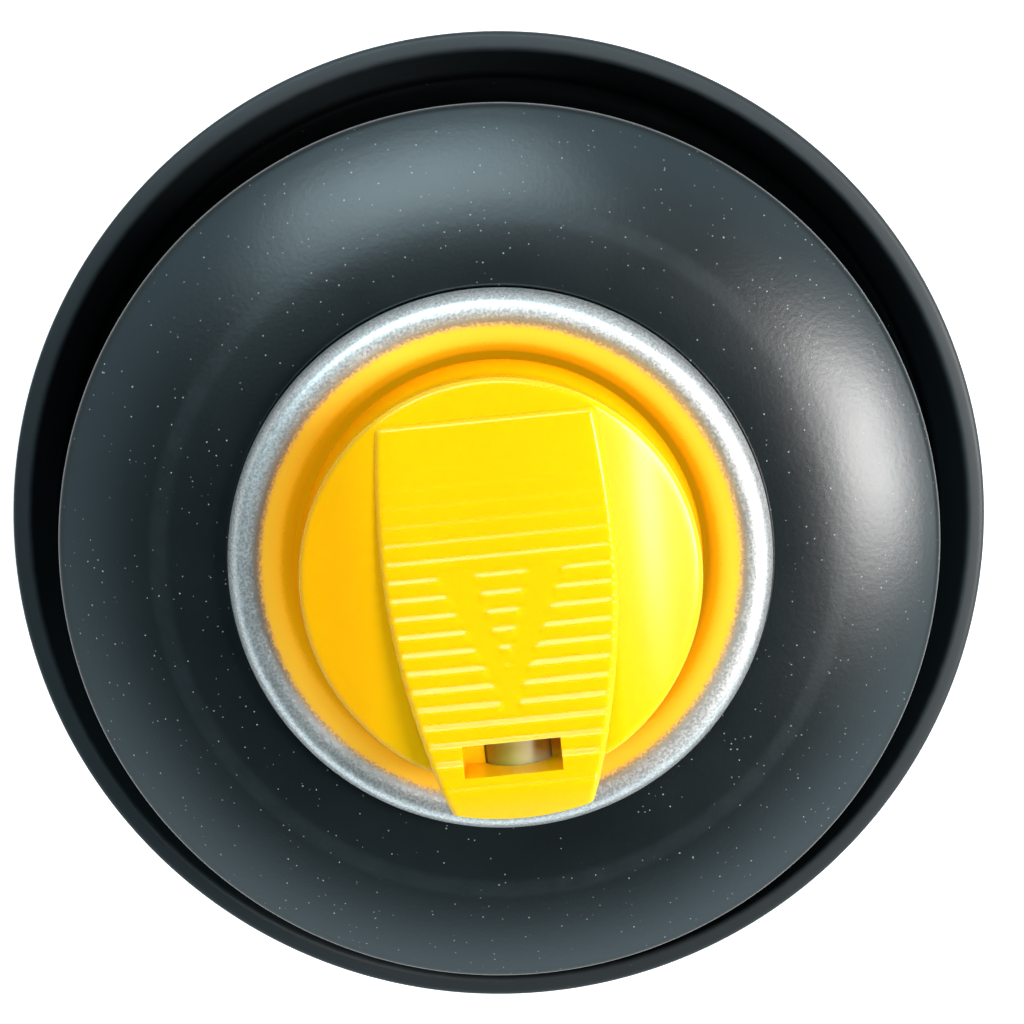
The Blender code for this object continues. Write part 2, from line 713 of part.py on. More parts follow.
made = [
    make_can_body(PARTS),
    make_top_cone(PARTS),
    make_bottom_end(PARTS),
    make_colour_ring(PARTS),
    make_valve_cup(PARTS),
    make_valve_housing(PARTS),
    make_valve_stem(PARTS, CUTTERS),
    make_valve_spring(PARTS),
    make_dip_tube(PARTS),
    make_button(PARTS, CUTTERS),
    make_nozzle_insert(PARTS, CUTTERS),
]
made += make_seam_compounds(PARTS)
made += make_gaskets(PARTS)
made += make_mixing_balls(PARTS)
parent_to_can(made, PARTS)
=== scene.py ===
# %% [markdown]
# # A spray paint can with its overcap off
#
# The can stands on a table and is seen from almost straight above. In the middle is a yellow push
# button on a tinplate valve cup. Round the cup lies a dark moulded ring, then a deep groove, then
# the can's rolled double seam.
#
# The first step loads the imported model. It already has every piece's place and joint, so nothing
# here is fitted by eye. All sizes below are millimetres, and heights count from the top of the top
# seam, because a can maker measures a valve and its button from there. Plus Y is the back and the
# nozzle sprays forward, along minus Y.

import json

import bmesh
import bpy
import numpy as np
from mathutils import Matrix, Vector


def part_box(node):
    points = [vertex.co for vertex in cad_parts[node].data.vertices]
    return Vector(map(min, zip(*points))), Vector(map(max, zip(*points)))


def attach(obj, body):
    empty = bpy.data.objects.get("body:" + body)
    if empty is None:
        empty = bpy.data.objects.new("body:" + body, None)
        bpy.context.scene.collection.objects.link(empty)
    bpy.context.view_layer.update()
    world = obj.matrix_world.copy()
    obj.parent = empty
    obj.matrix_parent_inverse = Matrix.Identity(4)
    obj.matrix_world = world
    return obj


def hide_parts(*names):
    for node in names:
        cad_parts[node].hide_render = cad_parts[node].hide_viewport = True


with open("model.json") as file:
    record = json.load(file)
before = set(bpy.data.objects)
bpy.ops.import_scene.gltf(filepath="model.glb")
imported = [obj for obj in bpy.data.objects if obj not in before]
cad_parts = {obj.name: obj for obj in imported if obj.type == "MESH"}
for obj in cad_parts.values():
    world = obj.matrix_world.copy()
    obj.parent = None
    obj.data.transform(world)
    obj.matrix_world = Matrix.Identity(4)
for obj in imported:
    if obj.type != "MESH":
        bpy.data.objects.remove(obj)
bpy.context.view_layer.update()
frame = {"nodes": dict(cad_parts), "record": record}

MM = 0.001
mounts = {mount["name"]: mount["pos_m"] for mount in frame["record"]["mounts"]}
SEAM = mounts["overcap_seat"][2]
HEIGHT = SEAM / MM
bpy.context.scene.view_settings.view_transform = "Standard"
print(f"{len(frame['nodes'])} CAD nodes; the top seam is {HEIGHT:.1f} mm above the table")

# %% [markdown]
# ## Surfaces as grids of points
#
# Almost everything on a can is turned, pressed round or swept along a line. Such a shape is a
# function of two numbers, so it can be worked out as one array of points and joined up into
# four-cornered faces. A closed surface holds a volume, and the sign of that volume says whether its
# faces look outwards. That is safer than turning faces by hand.

# %% From an array of points to a mesh object
WELD = 1e-7


def grid_faces(rows, columns, close_rows=False, close_columns=False):
    """Corner numbers of the faces of a grid. Closing a direction joins its last line back to its
    first."""
    row = np.arange(rows if close_rows else rows - 1)[:, None]
    column = np.arange(columns if close_columns else columns - 1)[None, :]
    next_row, next_column = (row + 1) % rows, (column + 1) % columns
    corners = (
        row * columns + column,
        row * columns + next_column,
        next_row * columns + next_column,
        next_row * columns + column,
    )
    full = (row.size, column.size)
    return np.stack([np.broadcast_to(c, full) for c in corners], axis=-1).reshape(-1, 4)


def solid(name, points, faces, crease=35.0):
    """A closed mesh from points in millimetres above the seam. Points that meet are welded, which
    closes seams and poles. If the signed volume, the sum over all faces of their corners' triple
    product, is negative, the faces are turned round. Edges that bend by more than the crease angle
    stay sharp."""
    mesh = bpy.data.meshes.new(name)
    placed = points.reshape(-1, 3) * MM + np.array([0.0, 0.0, SEAM])
    mesh.from_pydata(placed.tolist(), [], faces.tolist())
    work = bmesh.new()
    work.from_mesh(mesh)
    bmesh.ops.remove_doubles(work, verts=work.verts, dist=WELD)
    if work.calc_volume(signed=True) < 0:
        bmesh.ops.reverse_faces(work, faces=work.faces)
    volume = work.calc_volume(signed=True)
    open_edges = sum(len(edge.link_faces) != 2 for edge in work.edges)
    work.to_mesh(mesh)
    work.free()
    smooth(mesh, crease)
    made = bpy.data.objects.new(name, mesh)
    bpy.context.scene.collection.objects.link(made)
    print(f"{name}: {len(mesh.polygons)} faces, {volume * 1e9:.1f} mm3, {open_edges} open edges")
    return made


def smooth(mesh, crease):
    """Shades a mesh smoothly, except over edges that bend by more than the crease angle in
    degrees."""
    mesh.shade_smooth()
    mesh.set_sharp_from_angle(angle=np.radians(crease))


# %% [markdown]
# ## Turned and pressed pieces
#
# Sheet metal is pressed with a punch, so every bend in it has a radius. A section is drawn here as
# straight lines, and `rounded` then replaces each corner with a short curve. `sheet` adds the
# thickness of the metal behind the line. `turned` carries the closed section round the can's axis.
# Blender's Screw modifier could do that too, but an array also lets the section change with the
# angle, which the crimps and the button's sloping shelves need.

# %% Sections, and turning them
ROUND_STEPS = 288


def rounded(corners, radius, steps=6):
    """A line of corners with each inner one replaced by a curve. The curve starts a radius before
    the corner and ends a radius after it, and follows (1 - t)^2 a + 2 t (1 - t) corner + t^2 b.
    Radius may be one number or one each."""
    corners = np.asarray(corners, float)
    before = corners[:-2] - corners[1:-1]
    after = corners[2:] - corners[1:-1]
    room = np.minimum(np.linalg.norm(before, axis=1), np.linalg.norm(after, axis=1)) * 0.48
    cut = np.minimum(np.broadcast_to(radius, room.shape), room)[:, None]
    start = corners[1:-1] + before / np.linalg.norm(before, axis=1)[:, None] * cut
    end = corners[1:-1] + after / np.linalg.norm(after, axis=1)[:, None] * cut
    t = np.linspace(0.0, 1.0, steps)[None, :, None]
    bends = (1 - t) ** 2 * start[:, None] + 2 * t * (1 - t) * corners[1:-1, None] + t**2 * end[:, None]
    return np.vstack([corners[:1], bends.reshape(-1, 2), corners[-1:]])


def rounded_loop(corners, radius, steps=6):
    """The same for a closed section, where the first and last corners are rounded too."""
    corners = np.asarray(corners, float)
    line = rounded(np.vstack([corners[-1:], corners, corners[:1]]), radius, steps)
    return line[1:-1]


def dense(line, step):
    """A line with extra points on its long stretches, so that no two neighbours are further apart
    than a step."""
    gaps = np.linalg.norm(np.diff(line, axis=0), axis=1)
    along = np.concatenate([[0.0], np.cumsum(gaps)])
    counts = np.ceil(np.diff(along) / step).astype(int) + 1
    ends = zip(along[:-1], along[1:], counts)
    pieces = [np.linspace(a, b, count)[:-1] for a, b, count in ends]
    wanted = np.append(np.concatenate(pieces), along[-1])
    return np.stack([np.interp(wanted, along, line[:, i]) for i in (0, 1)], axis=1)


def sheet(line, wall):
    """Closed section of a sheet whose outside is on the line's left. The inside is the line moved
    right by the wall; at a bend, the mean of the two directions is divided by 1 + the cosine of the
    bend, which keeps the wall even."""
    steps = np.diff(line, axis=0)
    steps /= np.linalg.norm(steps, axis=1)[:, None]
    behind, ahead = np.vstack([steps[:1], steps]), np.vstack([steps, steps[-1:]])
    mean = ahead + behind
    even = 1 + (ahead * behind).sum(axis=1)[:, None]
    inner = line + wall * np.stack([mean[:, 1], -mean[:, 0]], axis=1) / even
    inner[:, 0] = np.maximum(inner[:, 0], 0.0)
    return np.vstack([line, inner[::-1]])


def turned(name, section, steps=ROUND_STEPS, bend=None, place=None, crease=35.0):
    """A solid of revolution: x = r cos a, y = r sin a, z = the section's height, for each point and
    each angle a. A bend takes the arrays of r, z and a and changes them, and a place moves the
    finished points."""
    angle = np.linspace(0.0, 2 * np.pi, steps, endpoint=False)[None, :]
    r = np.repeat(section[:, :1], steps, axis=1)
    z = np.repeat(section[:, 1:], steps, axis=1)
    if bend:
        r, z = bend(r, z, angle)
    points = np.stack([r * np.cos(angle), r * np.sin(angle), z], axis=-1)
    if place:
        points = place(points)
    return solid(name, points, grid_faces(len(section), steps, True, True), crease)


def swept(name, path, side, stations, radii, sides=24):
    """A round bar or pipe: centre + radius (cos a side + sin a across) at each station of a path,
    where across is the path's direction crossed with the side vector. A bar starts and ends with
    radius 0. A pipe goes out along its outside and comes back along its inside."""
    along = np.gradient(path, axis=0)
    along /= np.linalg.norm(along, axis=1)[:, None]
    across = np.cross(along, side)
    across /= np.linalg.norm(across, axis=1)[:, None]
    angle = np.linspace(0.0, 2 * np.pi, sides, endpoint=False)[None, :, None]
    ring = np.cos(angle) * side[stations][:, None] + np.sin(angle) * across[stations][:, None]
    points = path[stations][:, None] + ring * np.asarray(radii, float)[:, None, None]
    return solid(name, points, grid_faces(len(stations), sides, True, True))


print("a right angle rounded:", rounded([(0, 0), (1, 0), (1, 1)], 0.3, 3).round(2).tolist())

# %% [markdown]
# ## The top end
#
# The top is one pressing. It starts as a curled bead round the one-inch opening, runs down a cone,
# turns through the countersink that makes the deep groove, climbs the chuck wall, and folds over
# the body's flange as the double seam. Seaming irons the metal with a roller, and leaves very fine
# radial wrinkles on the inside of the seam.

# %% Top end with its double seam
TIN = 0.25
BEAD = (14.15, 12.7)
BEAD_TUBE = 1.0
CHUCK_R = 31.9
SEAM_R = 33.39
SEAM_DEPTH = 3.05
SINK = 4.65
WRINKLE_OUT = 0.010
WRINKLE_UP = 0.004


def bead_curl():
    """Points on the bead's circle, centre + radius (cos a, sin a), from under its outer side over
    to the inside."""
    turn = np.radians(np.linspace(-60.0, 180.0, 19))
    return np.stack([BEAD[0] + BEAD_TUBE * np.cos(turn), BEAD[1] + BEAD_TUBE * np.sin(turn)], axis=1)


def seam_line(hook_tip):
    """The seam's outline from the chuck wall over its round top and down to the tip of its hook."""
    corners = [
        (CHUCK_R + 0.1, -0.8),
        (CHUCK_R + 0.12, 0.0),
        (SEAM_R - 0.02, 0.0),
        (SEAM_R, -1.0),
        (SEAM_R, -SEAM_DEPTH),
        (32.53, -SEAM_DEPTH),
        (32.53, hook_tip),
    ]
    return rounded(corners, [0.6, 0.48, 0.4, 0.28, 0.12], 9)


def seam_wrinkles(r, z, angle):
    """Adds a ripple to the radius: three sine waves of 67, 113 and 181 turns, strongest on the
    chuck wall's top."""
    ripple = np.sin(67 * angle) + 0.8 * np.sin(113 * angle + 1.0) + 0.6 * np.sin(181 * angle + 2.0)
    strength = np.exp(-(((r - 32.1) / 0.45) ** 2)) * np.exp(-(((z + 0.7) / 1.1) ** 2))
    return r + WRINKLE_OUT * ripple * strength, z + WRINKLE_UP * ripple * strength


cone_line = rounded([(13.15, 12.7), (13.15, 11.2), (14.8, 9.2), (28.9, -3.8)], 0.9)
sink_corners = [
    (28.9, -3.8),
    (30.1, -SINK),
    (31.17, -SINK),
    (31.67, -3.9),
    (CHUCK_R + 0.1, -0.8),
]
sink_line = rounded(sink_corners, 0.6)
end_line = np.vstack([bead_curl(), cone_line[1:-1], sink_line[:-1], seam_line(-1.1)])
top_end = turned("top_end", dense(sheet(end_line, TIN), 0.8), 360, seam_wrinkles)
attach(top_end, "can")
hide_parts("can_top_cone")

# %% [markdown]
# ## The can's wall and its bottom
#
# The wall is a tinplate sheet bent round and welded along one side. The weld stands a few
# hundredths of a millimetre proud, so a smooth bump at one angle is enough for it. The bottom bows
# inwards to hold the pressure, and its own double seam is what the can stands on, so its profile is
# the top seam upside down.

# %% Wall and bottom
WELD_ANGLE = np.radians(200.0)
WELD_PROUD = 0.06
WELD_HALF = 0.6
WALL = 0.2
WALL_R = 32.45
FLANGE_TIP_R = 32.86


def weld_line(r, z, angle):
    """Raises the radius by 0.06 mm in a band 1.2 mm wide: 0.06 / (1 + (distance / 0.6)^8)."""
    distance = (angle - WELD_ANGLE) * WALL_R
    return r + WELD_PROUD / (1 + (distance / WELD_HALF) ** 8), z


def body_line():
    """The wall from the hook at its top, over the flange, down the side and out to the hook at its
    foot."""
    foot = -HEIGHT
    corners = [
        (FLANGE_TIP_R, -2.5),
        (FLANGE_TIP_R, -0.83),
        (WALL_R, -0.83),
        (WALL_R, foot + 0.83),
        (FLANGE_TIP_R, foot + 0.83),
        (FLANGE_TIP_R, foot + 2.5),
    ]
    return rounded(corners, 0.16, 4)


def bottom_line():
    """The bottom seam, the short wall inside it, and the dome: height = 12 - 7 (r / 30.5)^2 above
    the table."""
    seam = seam_line(-1.1)[::-1] * [1.0, -1.0] + [0.0, -HEIGHT]
    r = np.linspace(29.0, 0.0, 40)
    dome = np.stack([r, 12.0 - 7.0 * (r / 30.5) ** 2 - HEIGHT], axis=1)
    corners = [
        seam[-1],
        (31.67, 3.7 - HEIGHT),
        (30.9, SINK - HEIGHT),
        (29.9, 5.0 - HEIGHT),
        dome[0],
    ]
    rim = rounded(corners, 0.5)
    return np.vstack([seam[:-1], rim[:-1], dome])


can_wall = turned("can_wall", dense(sheet(body_line(), WALL), 4.0), 360, weld_line)
can_bottom = turned("can_bottom", dense(sheet(bottom_line(), TIN), 0.8))
for made, node in ((can_wall, "can_body"), (can_bottom, "can_bottom_end")):
    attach(made, "can")
    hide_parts(node)

# %% [markdown]
# ## The colour ring
#
# A moulded ring covers the cone. Its crown falls away outwards as a parabola, then turns over a
# tight round edge into a straight wall that goes down into the groove. The crown is smooth, and the
# light on it shows its exact slope, so the parabola is worked out at many points and isn't left to
# a subdivision surface.

# %% Colour ring
RING_R = 27.1
RING_WALL = 1.2
RING_LIP_R = 16.22
CROWN_R = (17.1, 26.3)
CROWN_TOP = 12.8
CROWN_FALL = 2.0


def ring_line():
    """Lip, crown and wall. On the crown the height is 12.8 - 2 t^2, with t from 0 at the lip to 1
    at the edge."""
    t = np.linspace(0.0, 1.0, 40)
    crown_r = CROWN_R[0] + (CROWN_R[1] - CROWN_R[0]) * t
    crown = np.stack([crown_r, CROWN_TOP - CROWN_FALL * t**2], axis=1)
    lip = rounded([(RING_LIP_R, 10.8), (RING_LIP_R, 12.82), crown[1]], 0.18, 7)
    edge = rounded([crown[-2], (RING_R - 0.03, 10.45), (27.3, -0.7)], 0.85, 16)
    return np.vstack([lip[:-1], crown[2:-2], edge[1:]])


colour_ring = turned("moulded_ring", dense(sheet(ring_line(), RING_WALL), 1.2), 360)
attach(colour_ring, "can")
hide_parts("colour_ring")

# %% [markdown]
# ## The valve cup
#
# The cup is drawn from tinplate: a pedestal that grips the valve, a flat floor, a wall, and a rim
# that rolls over the can's bead. A collet then crimps it from inside. Its eight jaws push the wall
# out under the bead and leave eight shallow flats, so the wall's radius gets a wave of eight lobes
# at that height.

# %% Valve cup
CUP_WALL = 0.3
CRIMP_Z = 9.4
CRIMP_DEPTH = 0.10
JAWS = 8


def crimp(r, z, angle):
    """Adds depth x cos(8 a) to the wall's radius near the crimp's height, and fades above and below
    it as a bell curve that is 1 mm wide on each side."""
    on_wall = np.exp(-((z - CRIMP_Z) ** 2)) * (r > 12.0)
    return r + CRIMP_DEPTH * np.cos(JAWS * angle) * on_wall, z


cup_corners = [
    (2.35, 12.3),
    (6.2, 12.3),
    (6.2, 6.8),
    (11.9, 6.8),
    (12.3, 7.6),
    (12.95, CRIMP_Z),
    (12.45, 10.8),
    (12.45, 13.0),
    (12.95, 14.25),
    (14.4, 15.0),
    (15.4, 14.95),
    (16.1, 13.9),
    (16.1, 11.9),
]
cup_bends = [0.8, 0.7, 0.6, 0.5, 0.7, 0.7, 0.6, 0.6, 0.45, 0.6, 0.8]
cup_sheet = sheet(rounded(cup_corners, cup_bends, 10), CUP_WALL)
cup = turned("mounting_cup", dense(cup_sheet, 0.6), bend=crimp)
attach(cup, "can")
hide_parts("valve_cup")

# %% [markdown]
# ## The valve under the button
#
# A nylon housing is crimped in the pedestal, with a spring in it, and a hollow stem stands on the
# spring. The dip tube hangs from the housing's tail. They are out of sight until the button is
# lifted off, but they move, so each is a piece of its own. The spring is a bar swept along a helix
# whose end turns lie closer together, as a real one's do.

# %% Housing, stem, spring, dip tube and mixing balls
SPRING_R = 2.1
SPRING_WIRE = 0.28
SPRING_ENDS = (2.53, 9.27)
SPRING_TURNS = 5
TUBE_R = 3.0
TUBE_BORE = 2.2
TUBE_START = -0.3
TUBE_STRAIGHT = -10.0
TUBE_END = 13.0
TUBE_BOW = 16.0
BALL_R = 3.5
housing_section = [
    (5.5, 10.85),
    (5.5, 9.35),
    (4.3, 9.35),
    (4.3, 1.6),
    (2.0, 0.2),
    (2.0, -6.0),
    (1.1, -6.0),
    (1.1, 2.2),
    (3.0, 2.2),
    (3.0, 10.85),
]
stem_section = [
    (0.0, 11.45),
    (1.0, 11.45),
    (1.0, 18.0),
    (2.0, 18.0),
    (2.0, 13.4),
    (1.5, 13.2),
    (1.5, 10.8),
    (2.7, 10.8),
    (2.7, 9.6),
    (1.2, 9.6),
    (1.2, 7.0),
    (0.0, 7.0),
]
housing = turned("housing", dense(rounded_loop(housing_section, 0.15, 5), 1.5), 96)
stem = turned("stem", dense(rounded(stem_section, 0.12, 5), 1.5), 96)


def spring_path():
    """A helix of five turns. The height climbs as t - 0.6 sin(2 pi t) / (2 pi), which is slow at
    both ends."""
    t = np.linspace(0.0, 1.0, 481)
    climb = t - 0.6 * np.sin(2 * np.pi * t) / (2 * np.pi)
    turn = 2 * np.pi * SPRING_TURNS * t
    outwards = np.stack([np.cos(turn), np.sin(turn), np.zeros_like(t)], axis=1)
    middle = outwards * SPRING_R
    middle[:, 2] = SPRING_ENDS[0] + (SPRING_ENDS[1] - SPRING_ENDS[0]) * climb
    return middle, outwards


def bar_stations(count, radius):
    """Stations of a bar with flat ends: a ring at every point of its path, and a point of radius 0
    at each end."""
    stations = np.concatenate([[0], np.arange(count), [count - 1]])
    radii = np.concatenate([[0.0], np.full(count, radius), [0.0]])
    return stations, radii


def tube_path():
    """The tube hangs straight for 10 mm and then bows: y = -16 t^2 as it goes down to 13 mm above
    the table."""
    t = np.linspace(0.0, 1.0, 90)
    down = TUBE_STRAIGHT + (TUBE_END - HEIGHT - TUBE_STRAIGHT) * t
    bowed = np.stack([np.zeros_like(t), -TUBE_BOW * t**2, down], axis=1)
    return np.vstack([[[0.0, 0.0, TUBE_START]], bowed])


helix, outwards = spring_path()
spring = swept("spring", helix, outwards, *bar_stations(len(helix), SPRING_WIRE), sides=14)
hanging = tube_path()
sideways = np.tile([1.0, 0.0, 0.0], (len(hanging), 1))
there = np.arange(len(hanging))
pipe_radii = np.concatenate([np.full(len(there), TUBE_R), np.full(len(there), TUBE_BORE)])
dip_tube = swept("feed_tube", hanging, sideways, np.concatenate([there, there[::-1]]), pipe_radii, 48)

for made, node, body, slot in (
    (housing, "valve_housing", "can", "nylon"),
    (stem, "valve_stem", "stem", "nylon"),
    (spring, "valve_spring", "can", "steel"),
    (dip_tube, "dip_tube", "can", "tube_plastic"),
):
    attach(made, body)
    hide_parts(node)

for number in (1, 2):
    low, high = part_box(f"mixing_ball_{number}")
    middle = (np.array(low) + np.array(high)) / 2 / MM - [0.0, 0.0, HEIGHT]
    latitude = np.linspace(-np.pi / 2, np.pi / 2, 33)
    ball_section = BALL_R * np.stack([np.cos(latitude).clip(0.0), np.sin(latitude)], axis=1)
    ball = turned(f"ball_{number}", ball_section, 64, place=lambda points: points + middle)
    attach(ball, f"ball_{number}")
    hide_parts(f"mixing_ball_{number}")

# %% [markdown]
# ## The push button: cap and finger pad
#
# Looked at closely, the button is a roof. A finger pad runs from back to front, and a shelf falls
# away from it on each side. That is why the shelf that faces the light is bright yellow and the other
# one is amber, and painted light and painted shade in the plastic's colour add to it. The pad is a
# staircase: its treads lie nearly level while it climbs to the nose as a parabola, so the risers are
# almost nothing at the back and a sixth of a millimetre at the front. Every riser also ends in a low
# crest, which catches the light from behind as a thin line. Two smooth arms cut a V into the stairs
# and point at the nozzle.
#
# The cap and the pad are made as two closed solids and joined with a Boolean. One height map for
# both would have jagged steps along the pad's edge.

# %% The button's heights
BUTTON_R = 11.1
BUTTON_TOP = 21.0
BUTTON_FOOT = 9.8
BUTTON_WALL = 1.1
FLANGE_R = 12.0
PAD_BACK = 9.1
PAD_FRONT = -12.0
NOSE_BULGE = 0.6
PAD_LOW = 21.30
PAD_RISE = 0.0045
PAD_CROWN = 0.10
LIP = -10.35
STAIR_PITCH = 0.986
STAIR_BACK = 7.63
STAIR_COUNT = 18
RISER = 0.4
CREST = 0.05
SHELF_START = 5.8
WINDOW_Y = (-10.0, -8.25)
WINDOW_X = (-2.95, 2.35)
WINDOW_FLOOR = 20.0
SPRAY_Z = 19.0
NOSE_FRONT = -11.9
NOSE_HALF = 3.7
NOSE_UNDER = 16.7
NOSE_SIDES = 2.4


def ease(value, low, high):
    """A smooth step from 0 at low to 1 at high: 3 t^2 - 2 t^3."""
    t = np.clip((value - low) / (high - low), 0.0, 1.0)
    return t * t * (3 - 2 * t)


def shelf_drop(x):
    """How far the cap's top lies below its middle. Outwards from the pad it falls 0.21 mm for each
    millimetre, and a little faster round |x| = 8.3, where the slope gains 0.06 sech^2."""
    u = np.maximum(np.abs(x) - SHELF_START, 0.0)
    return 0.21 * u + 0.06 * (np.tanh(u - 2.5) + np.tanh(2.5))


def pad_half_width(y):
    """Widest a little behind the middle. It narrows as a parabola to the back and as a power of
    1.83 to the nose."""
    behind = 6.38 - 0.0085 * (y - 1.5) ** 2
    ahead = 6.38 - 0.0215 * np.maximum(1.5 - y, 0.0) ** 1.83
    return np.where(y > 1.5, behind, ahead)


def climb(y):
    """The pad's smooth height: a parabola that is lowest at y = 8."""
    return PAD_LOW + PAD_RISE * (y - 8.0) ** 2


def stairs(y):
    """The same height in steps. With s = steps from the back, the level is the whole part of s,
    eased over two fifths of a step, and the height is the parabola's at that level's middle. Each
    riser ends in a crest a twentieth of a millimetre high, which falls away along the tread."""
    s = (STAIR_BACK - y) / STAIR_PITCH + RISER / 2
    phase = s - np.floor(s)
    rise = ease(phase, 0.0, RISER)
    level = np.clip(np.floor(s) - 1 + rise, -1.0, STAIR_COUNT - 1)
    along = ease(-y, -9.0, 1.0) * (1 - ease(-y, 9.9, 10.1))
    crest = CREST * rise * (1 - ease(phase, RISER, 1.0)) * along
    return climb(STAIR_BACK - (level + 0.5) * STAIR_PITCH) + crest


def lip_fall(y):
    """How far the nose's lip has curved down past the window: 0.06 d + 0.1 d^2, less a small step
    up at its start."""
    past = np.maximum(LIP - y, 0.0)
    return 0.06 * past + 0.1 * past**2 - 0.13 * ease(past, 0.0, 0.4)


def v_arms(x, y):
    """1 on the two smooth arms and 0 off them. Each arm's middle line is straight, and its width
    grows backwards."""
    half = 0.45 + 0.07 * (y + 6.0)
    left = np.abs(x - (-0.15 - 0.33 * np.maximum(y + 6.0, 0.0)))
    right = np.abs(x - (-0.05 + 0.37 * np.maximum(y + 6.0, 0.0)))
    near = np.minimum(left, right) - half
    return (1 - ease(near, -0.06, 0.06)) * ease(y, -6.9, -6.75) * (1 - ease(y, 1.15, 1.3))


def fillet(distance, radius):
    """How far a rounded edge has fallen: radius - sqrt(radius^2 - (radius - distance)^2), 0 inside
    the radius."""
    inside = np.clip(radius - distance, 0.0, radius)
    return radius - np.sqrt(radius**2 - inside**2)


print(f"the shelves drop {float(shelf_drop(BUTTON_R)):.2f} mm at the cap's edge")

# %% Cap, pad, nose and boss as closed solids


def slab(name, top, bottom):
    """A closed solid between two grids of the same size: their faces, and a wall along each of
    their four sides."""
    rows, columns = top.shape[:2]
    count = rows * columns
    number = np.arange(count).reshape(rows, columns)
    rim = np.concatenate([number[0, :-1], number[:-1, -1], number[-1, :0:-1], number[:0:-1, 0]])
    nearby = np.roll(rim, -1)
    walls = np.stack([rim, rim + count, nearby + count, nearby], axis=1)
    face = grid_faces(rows, columns)
    faces = np.vstack([face, face[:, ::-1] + count, walls])
    return solid(name, np.stack([top, bottom]), faces, 40.0)


def drop_shelves(r, z, angle):
    """Lowers the cap's top by the shelf's drop, fully above 19.5 mm and not at all below 14 mm."""
    return r, z - shelf_drop(r * np.cos(angle)) * ease(z, 14.0, 19.5)


def make_pad():
    """The finger pad: x is a share of the half width, close-set near the sides, and y runs from
    back to nose."""
    share = np.sin(np.pi / 2 * np.linspace(-1.0, 1.0, 97))[None, :]
    along = np.linspace(PAD_BACK, PAD_FRONT, 401)[:, None]
    y = along - NOSE_BULGE * ease(-along, 9.8, 12.0) * (1 - share**2)
    x = share * pad_half_width(along)
    edge = pad_half_width(along) * (1 - np.abs(share))
    arms = v_arms(x, y)
    level = stairs(y) * (1 - arms) + climb(y) * arms - lip_fall(y)
    crown = PAD_CROWN * (x / 6.0) ** 2
    z = level - crown - fillet(edge, 0.45) - fillet(PAD_BACK - along, 0.4)
    top = np.stack([x, y, z], axis=-1)
    bottom = np.stack([x, y, np.full_like(x, 19.9)], axis=-1)
    return slab("pad", top, bottom)


def make_nose():
    """The nose round the nozzle: its underside is a super-ellipse, 16.7 mm high in the middle."""
    share = np.sin(np.pi / 2 * np.linspace(-1.0, 1.0, 61))[None, :]
    along = np.linspace(1.0, NOSE_FRONT, 60)[:, None]
    half = np.minimum(NOSE_HALF, pad_half_width(along) - 0.25)
    y = along - 0.5 * ease(-along, 9.8, -NOSE_FRONT) * (1 - share**2) + 0.0 * share
    x = share * half
    bow = 1 - (1 - np.abs(share) ** 3.2).clip(0.0) ** (1 / 3.2)
    under = NOSE_UNDER + NOSE_SIDES * bow + 0.0 * along
    front = fillet(along - NOSE_FRONT, 0.5)
    top = np.stack([x, y, np.full_like(x, 20.7)], axis=-1)
    return slab("nose", top, np.stack([x, y, under + front], axis=-1))


def upright(name, radius, low, high, steps=64):
    """A solid cylinder on the can's axis, between two heights."""
    section = np.array([(0.0, high), (radius, high), (radius, low), (0.0, low)])
    return turned(name, section, steps)


def to_spray_axis(points):
    """Turns a piece made along Z so that its own height runs forward, along -Y, on the nozzle's
    axis."""
    return np.stack([points[..., 0], -points[..., 2], SPRAY_Z + points[..., 1]], axis=-1)


def along_spray(name, radius, back, front, steps=64):
    """A solid cylinder on the nozzle's axis, between two places along Y."""
    section = np.array([(0.0, -front), (radius, -front), (radius, -back), (0.0, -back)])
    return turned(name, section, steps, place=to_spray_axis)


def box_solid(name, low, high):
    """A rectangular block between two corners."""
    x, y = np.meshgrid([low[0], high[0]], [low[1], high[1]])
    faces = (np.stack([x, y, np.full_like(x, level)], axis=-1) for level in (high[2], low[2]))
    return slab(name, *faces)


def combined(name, base, joined, cut, crease=32.0):
    """Joins and cuts closed solids with Boolean modifiers, and gives back one plain mesh. The
    helpers are removed."""
    for operation, helpers in (("UNION", joined), ("DIFFERENCE", cut)):
        for helper in helpers:
            step = base.modifiers.new(helper.name, "BOOLEAN")
            step.operation = operation
            step.solver = "MANIFOLD"
            step.object = helper
    graph = bpy.context.evaluated_depsgraph_get()
    mesh = bpy.data.meshes.new_from_object(base.evaluated_get(graph))
    mesh.name = name
    for helper in [base, *joined, *cut]:
        bpy.data.objects.remove(helper)
    smooth(mesh, crease)
    made = bpy.data.objects.new(name, mesh)
    bpy.context.scene.collection.objects.link(made)
    print(f"{name}: {len(mesh.polygons)} faces after {len(joined)} joins and {len(cut)} cuts")
    return made


skirt_corners = [
    (0.0, BUTTON_TOP),
    (BUTTON_R, BUTTON_TOP),
    (11.15, 15.2),
    (FLANGE_R, 13.4),
    (FLANGE_R, BUTTON_FOOT),
]
skirt = rounded(skirt_corners, [0.42, 0.6, 0.45], 9)
cap = turned("cap", dense(sheet(skirt, BUTTON_WALL), 0.3), ROUND_STEPS, drop_shelves)
button = combined(
    "push_button",
    cap,
    [make_pad(), make_nose(), upright("boss", 3.5, 14.0, 20.4)],
    [
        upright("socket", 2.08, 13.0, 18.1),
        upright("riser", 0.8, 17.1, 19.3),
        along_spray("channel", 0.8, 1.2, -7.3),
        along_spray("bore", 2.1, -6.7, -14.0),
        box_solid("window", (WINDOW_X[0], WINDOW_Y[0], WINDOW_FLOOR), (WINDOW_X[1], WINDOW_Y[1], 26.0)),
    ],
)
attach(button, "button")
